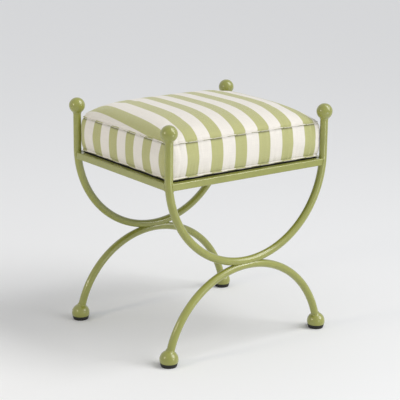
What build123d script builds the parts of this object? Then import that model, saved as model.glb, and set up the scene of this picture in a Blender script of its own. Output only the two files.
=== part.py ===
"""Curule stool: two bent-tube bows on leg arches, tied by square rails, under a boxed seat cushion.

X runs along the bows, Y from the front bow to the rear one and Z up from the floor, in millimetres.
"""
import os
from math import asin, cos, degrees, radians, sin, sqrt

from build123d import *

# Bows and leg arches, bent from one size of round tube
TUBE_DIAMETER = 17.2
TUBE_WALL = 2.0
POST_SPACING = 410.0  # the two posts of one bow, axis to axis
FRAME_SPACING = 346.0  # front bow to rear bow, axis to axis
LEG_HEIGHT = 184.0  # floor to the tube's axis at the top of a leg arch
LEG_RADIUS = 205.0  # bend of a leg arch, to the tube's axis
SADDLE_DEPTH = 7.2  # how far a bow sinks into the notch in its leg arch
POST_LENGTH = 93.5  # end of a bow's bend up to the centre of a finial
WELD_GAP = 0.1  # fit-up gap between welded pieces

# Turned balls at the tube ends
FINIAL_DIAMETER = 35.0
FOOT_DIAMETER = 40.0
FOOT_FLAT_DROP = 6.0  # centre of a foot ball down to its flat underside
SOCKET_FLOOR = 4.0  # centre of a ball out to the end of the tube in it
NECK_WALL = 0.9
NECK_REACH = 1.2  # straight neck above the hollow curve
NECK_FILLET = 3.0

# Rubber pads pressed into the foot balls
PAD_THICKNESS = 9.0
PAD_TAPER = 16.0  # degrees
PAD_EDGE = 1.2
PAD_STEM_DIAMETER = 8.0
PAD_STEM_LENGTH = 6.0
PAD_STEM_CLEARANCE = 0.1

# Square rails and the corner plates welded inside them
RAIL_SIZE = 15.0
RAIL_WALL = 1.5
RAIL_CORNER = 2.2
RAIL_DROP = 9.0  # end of a bow's bend down to the top of the rails
PLATE_THICKNESS = 3.0
PLATE_LEG = 54.0  # along each rail, from the rails' inner corner
PLATE_TIP = 8.0  # width left at the end of each leg
PLATE_CORNER = 2.0

# Screws that hold the seat down
SCREW_INSET = 19.5  # from the inner faces of the rails, along X and along Y
SCREW_DIAMETER = 6.0
SCREW_LENGTH = 16.0
SCREW_CLEARANCE = 0.3
SCREW_HEAD_DIAMETER = 11.0
SCREW_HEAD_HEIGHT = 3.5
SCREW_HEAD_EDGE = 1.2
HEX_SOCKET = 4.0
HEX_SOCKET_DEPTH = 2.0
WASHER_DIAMETER = 14.0
WASHER_THICKNESS = 1.2
TEE_NUT_DIAMETER = 19.0
TEE_NUT_FLANGE = 1.5
TEE_NUT_BARREL = 8.0
TEE_NUT_LENGTH = 9.0  # barrel below the flange
TEE_NUT_CLEARANCE = 0.1

# Seat: a lined board that drops in between the rails, foam, batting and a welted cover
SEAT_FIT = 1.0  # lined board to the rails
SEAT_REVEAL = 3.0  # rails up to the lower welt
SEAT_CLEARANCE = 1.0  # widest line of the cushion to a post
SEAT_BULGE = 5.0  # boxing's swell between the welts
BOARD_THICKNESS = 12.0
BOXING_HEIGHT = 67.4
BOXING_STEPS = 4
WELT_DIAMETER = 5.0
CROWN_HEIGHT = 39.5  # top panel above the upper welt
CROWN_SWEEP = 86.0  # degrees of the crown's quarter turn before its flat middle
CROWN_STEPS = 3
CROWN_ROUNDING = 0.9  # share of a full round end that the plan corners grow towards
FABRIC = 1.2
SOFT_GAP = 0.3
DUST_COVER = 0.8
DUST_COVER_MARGIN = 8.0
PULL_STRIP_WIDTH = 25.0  # turned under the board

# Frame lines worked out from the sizes above
tube_radius = TUBE_DIAMETER / 2
tube_bore = tube_radius - TUBE_WALL
socket_radius = tube_radius + WELD_GAP
neck_radius = tube_radius + NECK_WALL
bow_radius = POST_SPACING / 2
half_depth = FRAME_SPACING / 2
bow_bottom = LEG_HEIGHT + TUBE_DIAMETER - SADDLE_DEPTH
spring_height = bow_bottom + bow_radius
finial_height = spring_height + POST_LENGTH
post_end = finial_height - SOCKET_FLOOR
rail_top = spring_height - RAIL_DROP
rail_axis = rail_top - RAIL_SIZE / 2
rail_post = sqrt(bow_radius**2 - (spring_height - rail_axis) ** 2)
leg_centre = LEG_HEIGHT - LEG_RADIUS
foot_height = PAD_THICKNESS + FOOT_FLAT_DROP
foot_lean = asin((foot_height - leg_centre) / LEG_RADIUS)
foot_reach = LEG_RADIUS * cos(foot_lean)
leg_end = degrees(foot_lean + SOCKET_FLOOR / LEG_RADIUS)

# Seat lines: the plan grows out from the rails' inner faces, and its corners clear the posts
welt_radius = WELT_DIAMETER / 2
inside_welt = SEAT_BULGE + welt_radius + SOFT_GAP
rail_face_x = rail_post - RAIL_SIZE / 2
rail_face_y = half_depth - RAIL_SIZE / 2
seat_width = 2 * (rail_face_x - SEAT_FIT + inside_welt)
seat_depth = 2 * (rail_face_y - SEAT_FIT + inside_welt)
post_inset_x = bow_radius - seat_width / 2
post_inset_y = half_depth - seat_depth / 2
post_reach = tube_radius + SEAT_CLEARANCE
corner_lead = post_reach - post_inset_x - post_inset_y
seat_corner = corner_lead + sqrt(corner_lead**2 + post_reach**2 - post_inset_x**2 - post_inset_y**2)
screw_span = (2 * (rail_face_x - SCREW_INSET), 2 * (rail_face_y - SCREW_INSET))
screw_hole = SCREW_DIAMETER / 2 + SCREW_CLEARANCE

# Seat heights: up from the rails to the crown, and down from the board's top to the plates
boxing_base = rail_top + SEAT_REVEAL + WELT_DIAMETER
boxing_top = boxing_base + BOXING_HEIGHT
crown_base = boxing_top + WELT_DIAMETER
board_base = boxing_base - BOARD_THICKNESS
pull_strip_base = board_base - FABRIC
plate_top = pull_strip_base - DUST_COVER
plate_base = plate_top - PLATE_THICKNESS

CORNERS = {"front_left": (-1, -1), "front_right": (1, -1), "rear_left": (-1, 1), "rear_right": (1, 1)}
FRAMES = {"front": Plane.XZ.offset(half_depth), "rear": Plane.XZ.offset(-half_depth)}
RAILS = {
    "front_rail": ("front_left", "front_right"),
    "rear_rail": ("rear_left", "rear_right"),
    "left_rail": ("front_left", "rear_left"),
    "right_rail": ("front_right", "rear_right"),
}


def save(piece, name):
    """Label a finished piece and write it to its own file."""
    piece.part.label = name
    export_step(piece.part, f"parts/{name}.step")


def bow_axis(plane):
    """Axis of a bow: a post, a half circle of two quarter bends and a post."""
    with BuildLine(plane) as axis:
        Line((-bow_radius, post_end), (-bow_radius, spring_height))
        CenterArc((0, spring_height), bow_radius, 180, 90)
        CenterArc((0, spring_height), bow_radius, 270, 90)
        Line((bow_radius, spring_height), (bow_radius, post_end))
    return axis.wire()


def leg_axis(plane):
    """Axis of a leg arch: one bend from the socket of one foot ball to that of the other."""
    with BuildLine(plane) as axis:
        CenterArc((0, leg_centre), LEG_RADIUS, leg_end, 180 - 2 * leg_end)
    return axis.wire()


def tube_envelope(axis):
    """Solid that a tube fills with its fit-up gap, to cut sockets and copes."""
    with BuildPart() as envelope:
        with BuildSketch(Plane(axis @ 0, z_dir=axis % 0)):
            Circle(socket_radius)
        sweep(path=axis)
    return envelope.part


def necked_ball(centre, outward, diameter):
    """Turned ball that runs out in a hollow curve to a neck round the tube that enters it."""
    ball_radius = diameter / 2
    throat = neck_radius + NECK_FILLET
    neck_start = sqrt((ball_radius + NECK_FILLET) ** 2 - throat**2)
    neck_end = neck_start + NECK_REACH
    tangency = ball_radius / (ball_radius + NECK_FILLET)
    rim = NECK_WALL / 2
    across = Vector(0, 1, 0)
    with BuildPart() as ball:
        with BuildSketch(Plane(centre, x_dir=outward.cross(across), z_dir=across)):
            with BuildLine():
                round_line = ThreePointArc(
                    (0, -ball_radius),
                    (ball_radius, 0),
                    (throat * tangency, neck_start * tangency),
                )
                TangentArc(round_line @ 1, (neck_radius, neck_start), tangent=round_line % 1)
                Polyline(
                    (neck_radius, neck_start),
                    (neck_radius, neck_end - rim),
                    (neck_radius - rim, neck_end),
                    (0, neck_end),
                    (0, -ball_radius),
                )
            make_face()
        revolve(axis=Axis(centre, outward))
    return ball.part


def seat_outline(inset):
    """Rounded rectangle of the seat, drawn in from its widest line."""
    RectangleRounded(seat_width - 2 * inset, seat_depth - 2 * inset, seat_corner - inset)


def screw_circles(radius, mode=Mode.ADD):
    """Four circles round the axes of the seat screws."""
    with GridLocations(*screw_span, 2, 2):
        Circle(radius, mode=mode)


def boxing_form(inset):
    """Sides of the cushion from welt to welt: a swell that is drawn in at both seams."""
    with BuildPart() as form:
        for step in range(BOXING_STEPS + 1):
            share = step / BOXING_STEPS
            with BuildSketch(Plane.XY.offset(boxing_base + share * BOXING_HEIGHT)):
                seat_outline(inset + SEAT_BULGE * (2 * share - 1) ** 2)
        loft()
    return form.part


def crown_form(inset, drop):
    """Crown of the cushion: steep above the welt, rounder in plan and flatter towards its middle."""
    width = seat_width - 2 * (SEAT_BULGE + inset)
    depth = seat_depth - 2 * (SEAT_BULGE + inset)
    corner = seat_corner - SEAT_BULGE - inset
    with BuildPart() as form:
        for step in range(CROWN_STEPS + 1):
            angle = radians(CROWN_SWEEP) * step / CROWN_STEPS
            left = sqrt(cos(angle))
            radius = corner * left + CROWN_ROUNDING * (1 - left) * left * depth / 2
            with BuildSketch(Plane.XY.offset(crown_base - drop + CROWN_HEIGHT * sin(angle))):
                RectangleRounded(width - depth * (1 - left), depth * left, radius)
        loft()
    return form.part


os.makedirs("parts", exist_ok=True)

# Bows and leg arches: each bow lies in a notch cut across the top of its leg arch
bow_envelopes = {}
leg_envelopes = {}
for end, plane in FRAMES.items():
    upper_axis = bow_axis(plane)
    lower_axis = leg_axis(plane)
    bow_envelopes[end] = tube_envelope(upper_axis)
    leg_envelopes[end] = tube_envelope(lower_axis)
    with BuildPart() as bow:
        with BuildSketch(Plane(upper_axis @ 0, z_dir=upper_axis % 0)):
            Circle(tube_radius)
            Circle(tube_bore, mode=Mode.SUBTRACT)
        sweep(path=upper_axis)
    save(bow, f"{end}_bow")
    with BuildPart() as leg_arch:
        with BuildSketch(Plane(lower_axis @ 0, z_dir=lower_axis % 0)):
            Circle(tube_radius)
            Circle(tube_bore, mode=Mode.SUBTRACT)
        sweep(path=lower_axis)
        add(bow_envelopes[end], mode=Mode.SUBTRACT)
    save(leg_arch, f"{end}_leg_arch")

# Finials, foot balls and foot pads, one set for each corner
for corner, (side, end_sign) in CORNERS.items():
    end = corner.split("_")[0]
    finial_centre = Vector(side * bow_radius, end_sign * half_depth, finial_height)
    with BuildPart() as finial:
        add(necked_ball(finial_centre, Vector(0, 0, -1), FINIAL_DIAMETER))
        add(bow_envelopes[end], mode=Mode.SUBTRACT)
    save(finial, f"finial_{corner}")

    foot_centre = Vector(side * foot_reach, end_sign * half_depth, foot_height)
    foot_plan = (foot_centre.X, foot_centre.Y)
    up_the_leg = Vector(-side * sin(foot_lean), 0, cos(foot_lean))
    with BuildPart() as foot_ball:
        add(necked_ball(foot_centre, up_the_leg, FOOT_DIAMETER))
        split(bisect_by=Plane.XY.offset(PAD_THICKNESS), keep=Keep.TOP)
        add(leg_envelopes[end], mode=Mode.SUBTRACT)
        with BuildSketch(Plane.XY.offset(PAD_THICKNESS)):
            with Locations(foot_plan):
                Circle(PAD_STEM_DIAMETER / 2 + PAD_STEM_CLEARANCE)
        extrude(amount=PAD_STEM_LENGTH + PAD_STEM_CLEARANCE, mode=Mode.SUBTRACT)
    save(foot_ball, f"foot_ball_{corner}")

    with BuildPart() as foot_pad:
        with BuildSketch(Plane.XY.offset(PAD_THICKNESS)):
            with Locations(foot_plan):
                Circle(sqrt((FOOT_DIAMETER / 2) ** 2 - FOOT_FLAT_DROP**2))
        extrude(amount=-PAD_THICKNESS, taper=PAD_TAPER)
        fillet(foot_pad.edges().group_by(Axis.Z)[0], radius=PAD_EDGE)
        with BuildSketch(Plane.XY.offset(PAD_THICKNESS)):
            with Locations(foot_plan):
                Circle(PAD_STEM_DIAMETER / 2)
        extrude(amount=PAD_STEM_LENGTH)
    save(foot_pad, f"foot_pad_{corner}")

# Rails: square tube coped to the bows and mitred to each other inside the corners
rail_ends = {}
for corner, (side, end_sign) in CORNERS.items():
    rail_ends[corner] = Vector(side * rail_post, end_sign * half_depth, rail_axis)
for name, (first, second) in RAILS.items():
    start = rail_ends[first]
    finish = rail_ends[second]
    along = (finish - start).normalized()
    inward = Vector(-(start + finish).X, -(start + finish).Y, 0).normalized()
    with BuildPart() as rail:
        with BuildSketch(Plane(start, z_dir=along)):
            RectangleRounded(RAIL_SIZE, RAIL_SIZE, RAIL_CORNER)
            bore = RAIL_SIZE - 2 * RAIL_WALL
            RectangleRounded(bore, bore, RAIL_CORNER - RAIL_WALL, mode=Mode.SUBTRACT)
        extrude(amount=(finish - start).length)
        split(bisect_by=Plane(start + along * WELD_GAP, z_dir=along - inward), keep=Keep.TOP)
        split(bisect_by=Plane(finish - along * WELD_GAP, z_dir=-along - inward), keep=Keep.TOP)
        for envelope in bow_envelopes.values():
            add(envelope, mode=Mode.SUBTRACT)
    save(rail, name)

# Corner plates: welded inside the rails, under the corners of the seat
for corner, (side, end_sign) in CORNERS.items():
    inward_points = [
        (WELD_GAP, WELD_GAP),
        (PLATE_LEG, WELD_GAP),
        (PLATE_LEG, PLATE_TIP),
        (PLATE_TIP, PLATE_LEG),
        (WELD_GAP, PLATE_LEG),
    ]
    with BuildPart() as corner_plate:
        with BuildSketch(Plane.XY.offset(plate_base)) as plate_plan:
            with BuildLine():
                Polyline(
                    *[(side * (rail_face_x - u), end_sign * (rail_face_y - v)) for u, v in inward_points],
                    close=True,
                )
            make_face()
            fillet(plate_plan.vertices(), radius=PLATE_CORNER)
            screw_circles(screw_hole, mode=Mode.SUBTRACT)
        extrude(amount=PLATE_THICKNESS)
    save(corner_plate, f"corner_plate_{corner}")

# Seat screws from below, with their washers and the tee nuts that they turn into
head_top = plate_base - WASHER_THICKNESS
with BuildPart() as seat_screws:
    with BuildSketch(Plane.XY.offset(head_top)):
        screw_circles(SCREW_HEAD_DIAMETER / 2)
    extrude(amount=-SCREW_HEAD_HEIGHT)
    fillet(seat_screws.edges().group_by(Axis.Z)[0], radius=SCREW_HEAD_EDGE)
    with BuildSketch(Plane.XY.offset(head_top - SCREW_HEAD_HEIGHT)):
        with GridLocations(*screw_span, 2, 2):
            RegularPolygon(HEX_SOCKET / 2, 6, major_radius=False)
    extrude(amount=HEX_SOCKET_DEPTH, mode=Mode.SUBTRACT)
    with BuildSketch(Plane.XY.offset(head_top)):
        screw_circles(SCREW_DIAMETER / 2)
    extrude(amount=SCREW_LENGTH)
save(seat_screws, "seat_screws")

with BuildPart() as seat_washers:
    with BuildSketch(Plane.XY.offset(head_top)):
        screw_circles(WASHER_DIAMETER / 2)
        screw_circles(screw_hole, mode=Mode.SUBTRACT)
    extrude(amount=WASHER_THICKNESS)
save(seat_washers, "seat_washers")

with BuildPart() as tee_nuts:
    with BuildSketch(Plane.XY.offset(boxing_base)):
        screw_circles(TEE_NUT_DIAMETER / 2)
    extrude(amount=-TEE_NUT_FLANGE)
    with BuildSketch(Plane.XY.offset(boxing_base - TEE_NUT_FLANGE)):
        screw_circles(TEE_NUT_BARREL / 2)
    extrude(amount=-TEE_NUT_LENGTH)
    with BuildSketch(Plane.XY.offset(boxing_base)):
        screw_circles(SCREW_DIAMETER / 2 + TEE_NUT_CLEARANCE)
    extrude(amount=-(TEE_NUT_FLANGE + TEE_NUT_LENGTH), mode=Mode.SUBTRACT)
save(tee_nuts, "tee_nuts")

# Seat board, the pull strip that lines its edge and is turned under it, and the dust cover
with BuildPart() as seat_board:
    with BuildSketch(Plane.XY.offset(board_base)):
        seat_outline(inside_welt + FABRIC)
    extrude(amount=BOARD_THICKNESS)
    with Locations(Plane.XY.offset(boxing_base)):
        with GridLocations(*screw_span, 2, 2):
            CounterBoreHole(
                radius=TEE_NUT_BARREL / 2 + TEE_NUT_CLEARANCE,
                counter_bore_radius=TEE_NUT_DIAMETER / 2 + TEE_NUT_CLEARANCE,
                counter_bore_depth=TEE_NUT_FLANGE,
            )
save(seat_board, "seat_board")

with BuildPart() as pull_strip:
    with BuildSketch(Plane.XY.offset(pull_strip_base)):
        seat_outline(inside_welt)
    extrude(amount=BOARD_THICKNESS + FABRIC)
    with BuildSketch(Plane.XY.offset(board_base)):
        seat_outline(inside_welt + FABRIC)
    extrude(amount=BOARD_THICKNESS, mode=Mode.SUBTRACT)
    with BuildSketch(Plane.XY.offset(pull_strip_base)):
        Rectangle(
            seat_width - 2 * (inside_welt + PULL_STRIP_WIDTH),
            seat_depth - 2 * (inside_welt + PULL_STRIP_WIDTH),
        )
        screw_circles(screw_hole)
    extrude(amount=FABRIC, mode=Mode.SUBTRACT)
save(pull_strip, "pull_strip")

with BuildPart() as dust_cover:
    with BuildSketch(Plane.XY.offset(plate_top)):
        seat_outline(inside_welt + DUST_COVER_MARGIN)
        screw_circles(screw_hole, mode=Mode.SUBTRACT)
    extrude(amount=DUST_COVER)
save(dust_cover, "dust_cover")

# Filling: a foam slab inside the boxing and a batting crown on it
with BuildPart() as foam_slab:
    add(boxing_form(FABRIC + SOFT_GAP))
save(foam_slab, "foam_slab")

with BuildPart() as crown_batting:
    add(crown_form(welt_radius + SOFT_GAP, FABRIC + SOFT_GAP))
    with BuildSketch(Plane.XY.offset(boxing_top)):
        seat_outline(inside_welt)
    extrude(amount=WELT_DIAMETER - FABRIC - SOFT_GAP)
save(crown_batting, "crown_batting")

# Cover: boxing, crowned top panel and a welt in each seam
with BuildPart() as boxing:
    add(boxing_form(0))
    add(boxing_form(FABRIC), mode=Mode.SUBTRACT)
save(boxing, "boxing")

with BuildPart() as top_panel:
    add(crown_form(0, 0))
    add(crown_form(FABRIC, FABRIC), mode=Mode.SUBTRACT)
save(top_panel, "top_panel")

for name, welt_top in (("top_welt", crown_base), ("bottom_welt", boxing_base)):
    with BuildSketch(Plane.XY.offset(welt_top - welt_radius)) as seam:
        seat_outline(SEAT_BULGE)
    cord = seam.sketch.face().outer_wire()
    with BuildPart() as welt:
        with BuildSketch(Plane(cord @ 0, z_dir=cord % 0)):
            Circle(welt_radius)
        sweep(path=cord)
    save(welt, name)

print(f"finial top {finial_height + FINIAL_DIAMETER / 2:.1f}, crown {crown_base + CROWN_HEIGHT:.1f}")
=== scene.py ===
# %% [markdown]
# This lesson dresses a small upholstered stool. The metal frame arrives as finished solids, so the
# work here is what solids can't give: paint that looks sprayed and cured, a stuffed cushion in
# striped cotton, the sewn welts on its seams, the black lining under it and the welds that hold
# the frame together.

# %% Load the frame
import math

import bpy
import numpy as np
from mathutils import Matrix, Vector


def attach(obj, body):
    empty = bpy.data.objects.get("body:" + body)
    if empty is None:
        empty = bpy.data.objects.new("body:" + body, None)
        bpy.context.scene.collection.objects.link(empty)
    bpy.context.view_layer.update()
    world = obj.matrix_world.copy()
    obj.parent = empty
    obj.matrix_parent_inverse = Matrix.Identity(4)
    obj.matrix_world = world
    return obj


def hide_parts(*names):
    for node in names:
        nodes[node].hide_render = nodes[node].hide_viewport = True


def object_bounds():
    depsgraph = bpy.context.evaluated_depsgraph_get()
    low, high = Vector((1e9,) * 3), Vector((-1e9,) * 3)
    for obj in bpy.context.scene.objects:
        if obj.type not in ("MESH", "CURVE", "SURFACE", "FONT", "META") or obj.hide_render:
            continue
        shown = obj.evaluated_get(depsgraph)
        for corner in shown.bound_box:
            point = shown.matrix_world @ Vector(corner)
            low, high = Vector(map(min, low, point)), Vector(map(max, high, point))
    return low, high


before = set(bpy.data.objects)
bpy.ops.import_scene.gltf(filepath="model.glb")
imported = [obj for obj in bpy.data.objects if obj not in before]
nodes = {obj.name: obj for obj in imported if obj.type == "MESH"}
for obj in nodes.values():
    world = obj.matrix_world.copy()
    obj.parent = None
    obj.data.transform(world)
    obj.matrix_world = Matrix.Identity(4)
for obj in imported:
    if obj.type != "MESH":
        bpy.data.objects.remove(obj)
cad_low, cad_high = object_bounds()
print("frame:", len(nodes), "pieces,", [round(side, 3) for side in cad_high - cad_low], "m")

# %% [markdown]
# A finish is a small tree of nodes. Adding it node by node would hide the idea, so one class wraps
# a socket and lets shader maths read as arithmetic, and a second adds any other node in one call.

# %% A socket that takes part in arithmetic


class Wire:
    """One output in a tree of nodes, which takes part in arithmetic."""

    def __init__(self, owner, socket):
        self.owner = owner
        self.socket = socket

    def math(self, operation, *values):
        return self.owner.node("ShaderNodeMath", {"operation": operation}, dict(enumerate(values)))

    def __add__(self, other):
        return self.math("ADD", self, other)

    def __sub__(self, other):
        return self.math("SUBTRACT", self, other)

    def __rsub__(self, other):
        return self.math("SUBTRACT", other, self)

    def __mul__(self, other):
        return self.math("MULTIPLY", self, other)

    def __truediv__(self, other):
        return self.math("DIVIDE", self, other)

    def __rtruediv__(self, other):
        return self.math("DIVIDE", other, self)

    def __abs__(self):
        return self.math("ABSOLUTE", self)

    __radd__ = __add__
    __rmul__ = __mul__

    def wave(self, length):
        """Sine along this value, with that wavelength."""
        return self.math("SINE", self * (2 * math.pi / length))

    def within(self, half_width, softness):
        """1 where this distance is inside half_width, 0 outside, with a soft edge."""
        return self.owner.node(
            "ShaderNodeMath",
            {"operation": "MULTIPLY_ADD", "use_clamp": True},
            {0: self, 1: -1 / softness, 2: half_width / softness + 0.5},
        )


# %% A tree that takes any node


class Tree:
    """A tree of nodes, with one method that adds any node to it."""

    def __init__(self, tree):
        self.tree = tree

    def node(self, kind, settings=None, sockets=None, out=0):
        """Add a node: its settings are set first, then its sockets are linked or given values."""
        made = self.tree.nodes.new(kind)
        for name, value in (settings or {}).items():
            setattr(made, name, value)
        for name, value in (sockets or {}).items():
            self.feed(made.inputs[name], value)
        return Wire(self, made.outputs[out])

    def feed(self, socket, value):
        if isinstance(value, Wire):
            self.tree.links.new(value.socket, socket)
        else:
            socket.default_value = value


# %% [markdown]
# Most finishes here have the same few habits: a colour between two tones, a roughness that rises
# with a pattern, and a fine relief. They could be wired anew for each one. A third class holds them
# instead, so that a finish only has to say what is special about it. A number that is the same all
# over goes straight on the shader's own socket.

# %% One finish


class Finish(Tree):
    """One material, with the constants of its shader."""

    def __init__(self, name, constants=None):
        self.material = bpy.data.materials.new(name)
        self.material.use_nodes = True
        super().__init__(self.material.node_tree)
        self.shader = self.tree.nodes["Principled BSDF"]
        for socket, value in (constants or {}).items():
            self.shader.inputs[socket].default_value = value

    def drive(self, socket, value):
        """Let a value that changes over the surface reach the shader."""
        self.feed(self.shader.inputs[socket], value)

    def place(self):
        return self.node("ShaderNodeTexCoord", out="Object")

    def noise(self, where, scale, detail=2.0):
        """Noise at one scale, or at a scale of its own along each axis."""
        if isinstance(scale, tuple):
            where = self.node("ShaderNodeMapping", {}, {"Vector": where, "Scale": scale})
            scale = 1.0
        sockets = {"Vector": where, "Scale": scale, "Detail": detail}
        return self.node("ShaderNodeTexNoise", {}, sockets)

    def mix(self, share, first, second, blend="MIX"):
        """Blend two colours by a share."""
        settings = {"data_type": "RGBA", "blend_type": blend}
        return self.node("ShaderNodeMix", settings, {0: share, 6: first, 7: second}, out=2)

    def tones(self, share, first, second):
        """A base colour between two tones."""
        self.drive("Base Color", self.mix(share, first, second))

    def roughness(self, least, rise, pattern):
        """A roughness that rises from its least value with a pattern."""
        self.drive("Roughness", least + pattern * rise)

    def relief(self, height, distance, strength=1.0):
        """Bump the surface by a height from 0 to 1 that stands for a distance in metres."""
        bump = {"Height": height, "Distance": distance, "Strength": strength}
        self.drive("Normal", self.node("ShaderNodeBump", {}, bump))


def shade(red, green, blue):
    """Linear colour of an 8-bit display colour, by the standard curve of displays."""
    channels = []
    for level in (red, green, blue):
        share = level / 255
        channels.append(share / 12.92 if share <= 0.04045 else ((share + 0.055) / 1.055) ** 2.4)
    return (*channels, 1.0)


print("a display's middle grey is", round(shade(128, 128, 128)[0], 3), "of full light")

# %% [markdown]
# The frame is sprayed in a sage green satin paint. Sprayed paint is never one flat colour: the coat
# is a little thicker here and thinner there, the sheen drifts with it, and a close look shows fine
# orange peel over the slow waves of hand-bent tube. One colour with one gloss would look like
# plastic. Noise at three scales gives the unevenness, all read from Object coordinates, so that the
# pattern runs on from one welded piece to the next.

# %% Frame paint
PAINT_DEEP = shade(131, 134, 56)
PAINT_FULL = shade(158, 161, 74)
DRIFT_TONE = 0.6
MOTTLE_TONE = 0.6
TONE_SHIFT = 0.1
MOTTLE_RELIEF = 0.8
PEEL_RELIEF = 0.2
PAINTED = ("bow", "leg_arch", "rail", "finial", "foot_ball", "corner_plate")


def frame_paint():
    paint = Finish("sage_paint", {"Coat Roughness": 0.15, "Coat Weight": 0.9})
    where = paint.place()
    drift = paint.noise(where, scale=9.0, detail=3.0)
    mottle = paint.noise(where, scale=70.0, detail=4.0)
    peel = paint.noise(where, scale=900.0)
    paint.tones(drift * DRIFT_TONE + mottle * MOTTLE_TONE - TONE_SHIFT, PAINT_DEEP, PAINT_FULL)
    paint.roughness(least=0.26, rise=0.16, pattern=mottle)
    paint.relief(mottle * MOTTLE_RELIEF + peel * PEEL_RELIEF, distance=0.0006, strength=0.5)
    return paint.material


def dress(kinds, material):
    """Give a finish to the frame's pieces of these kinds, and count them."""
    dressed = [name for name in nodes if any(kind in name for kind in kinds)]
    for name in dressed:
        nodes[name].data.materials.clear()
        nodes[name].data.materials.append(material)
    return len(dressed)


sage_paint = frame_paint()
print("painted:", dress(PAINTED, sage_paint), "pieces")

# %% [markdown]
# Rubber, zinc and plywood are small and mostly in shadow, yet each has its own sign: rubber scuffs
# grey, zinc plating shows cloudy spangle, and a plywood edge shows its plies. Plain greys and
# browns would pass from afar. A noise or two each, stretched where the material has a direction,
# is enough from close by.

# %% Small finishes
PLY_THICKNESS = 0.0024
PLY_TONE = 0.4
GRAIN_TONE = 0.6
GRIT_RELIEF = 0.5
SCUFF_RELIEF = 0.5


def pad_rubber():
    rubber = Finish("pad_rubber")
    where = rubber.place()
    scuff = rubber.noise(where, scale=(90.0, 90.0, 400.0), detail=4.0)
    grit = rubber.noise(where, scale=1500.0)
    rubber.tones(scuff, shade(13, 13, 10), shade(38, 37, 30))
    rubber.roughness(least=0.55, rise=0.3, pattern=scuff)
    rubber.relief(grit * GRIT_RELIEF + scuff * SCUFF_RELIEF, distance=0.0004)
    return rubber.material


def zinc_steel():
    zinc = Finish("zinc_steel", {"Metallic": 1.0})
    spangle = zinc.noise(zinc.place(), scale=400.0, detail=3.0)
    zinc.tones(spangle, shade(150, 152, 155), shade(205, 206, 204))
    zinc.roughness(least=0.28, rise=0.25, pattern=spangle)
    zinc.relief(spangle, distance=0.0002, strength=0.4)
    return zinc.material


def plywood():
    wood = Finish("plywood", {"Roughness": 0.62})
    where = wood.place()
    grain = wood.noise(where, scale=(14.0, 320.0, 60.0), detail=5.0)
    height = wood.node("ShaderNodeSeparateXYZ", {}, {"Vector": where}, out="Z")
    plies = height.wave(2 * PLY_THICKNESS) * 0.5 + 0.5
    share = grain * GRAIN_TONE + plies * PLY_TONE
    wood.tones(share, shade(150, 112, 70), shade(214, 180, 134))
    wood.relief(grain, distance=0.0004, strength=0.6)
    return wood.material


fixing_zinc = zinc_steel()
print("rubber:", dress(["foot_pad"], pad_rubber()), "pieces")
print("zinc:", dress(["seat_screws", "seat_washers", "tee_nuts"], fixing_zinc), "pieces")
print("plywood:", dress(["seat_board"], plywood()), "piece")

# %% [markdown]
# The cover is a cotton duck with woven stripes. Its pattern has to follow the cloth, not space: the
# stripes run front to back over the top panel and upright round the boxing. A pattern laid on from
# above would smear down the sides, so the cushion carries a UV map in metres of cloth, across the
# stripes in U and along them in V, and the finish works out stripe, yarns and slubs from that map.

# %% Striped cotton
STRIPE_PITCH = 0.0624
STRIPE_GREEN = 0.0300
STRIPE_OFFSET = 0.0115
STRIPES_TO_START = 2.5
STRIPE_START = STRIPE_OFFSET - STRIPES_TO_START * STRIPE_PITCH
STRIPE_SOFT = 0.0007
STRIPE_WANDER = 0.012
YARN = 0.0011
YARN_TONE = 0.025
YARN_RELIEF = 0.3
SLUB_ACROSS = (30.0, 900.0, 1.0)
SLUB_ACROSS_TONE = 0.12
SLUB_ALONG = (900.0, 30.0, 1.0)
SLUB_ALONG_TONE = 0.16
SLUB_RELIEF = 0.35
WEAR_TONE = 0.08
WEAVE_TONE = 0.80
# Painted shade in a seam's groove: how much it darkens white cotton, and how much more on green.
GROOVE_SHADE_GREY = 0.22
GROOVE_SHADE_ON_GREEN = 0.36
COTTON_WHITE = shade(239, 234, 225)
COTTON_GREEN = shade(187, 187, 128)
COTTON_SHEEN = {"Sheen Weight": 0.45, "Sheen Roughness": 0.5, "Specular IOR Level": 0.25}


def striped_cotton(name, slant=0.0, start=STRIPE_START, green=STRIPE_GREEN):
    """Stripes across U; a slant leans them along V, as on a bias-cut strip."""
    cotton = Finish(name, COTTON_SHEEN)
    cloth = cotton.node("ShaderNodeUVMap", {"uv_map": "cloth"})
    across = cotton.node("ShaderNodeSeparateXYZ", {}, {"Vector": cloth}, out="X")
    along = cotton.node("ShaderNodeSeparateXYZ", {}, {"Vector": cloth}, out="Y")
    groove_shade = cotton.node("ShaderNodeAttribute", {"attribute_name": "groove_shade"}, out="Fac")
    slub_across = cotton.noise(cloth, SLUB_ACROSS)
    slub_along = cotton.noise(cloth, SLUB_ALONG)
    wear = cotton.noise(cloth, scale=11.0, detail=3.0)
    yarns = across.wave(YARN) * along.wave(YARN)

    wander = (slub_across - 0.5) * STRIPE_WANDER
    turns = (across + along * slant - start) / STRIPE_PITCH + 0.5 + wander
    offset = abs(turns.math("FRACT", turns) - 0.5) * STRIPE_PITCH
    stripe = offset.within(green / 2, STRIPE_SOFT)
    dyed = cotton.mix(stripe, COTTON_WHITE, COTTON_GREEN)

    slubs = WEAVE_TONE + slub_across * SLUB_ACROSS_TONE + slub_along * SLUB_ALONG_TONE
    woven = slubs + wear * WEAR_TONE + yarns * YARN_TONE
    # Painted shade: along the seams' grooves the colour is darkened, more on the green stripes.
    value = woven - groove_shade * (GROOVE_SHADE_GREY + stripe * GROOVE_SHADE_ON_GREEN)
    cotton.drive("Base Color", cotton.mix(1.0, dyed, value, "MULTIPLY"))
    cotton.roughness(least=0.82, rise=0.14, pattern=slub_along)
    height = yarns * YARN_RELIEF + slub_along * SLUB_RELIEF + slub_across * SLUB_RELIEF
    cotton.relief(height, distance=0.0005, strength=0.6)
    return cotton.material


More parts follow.
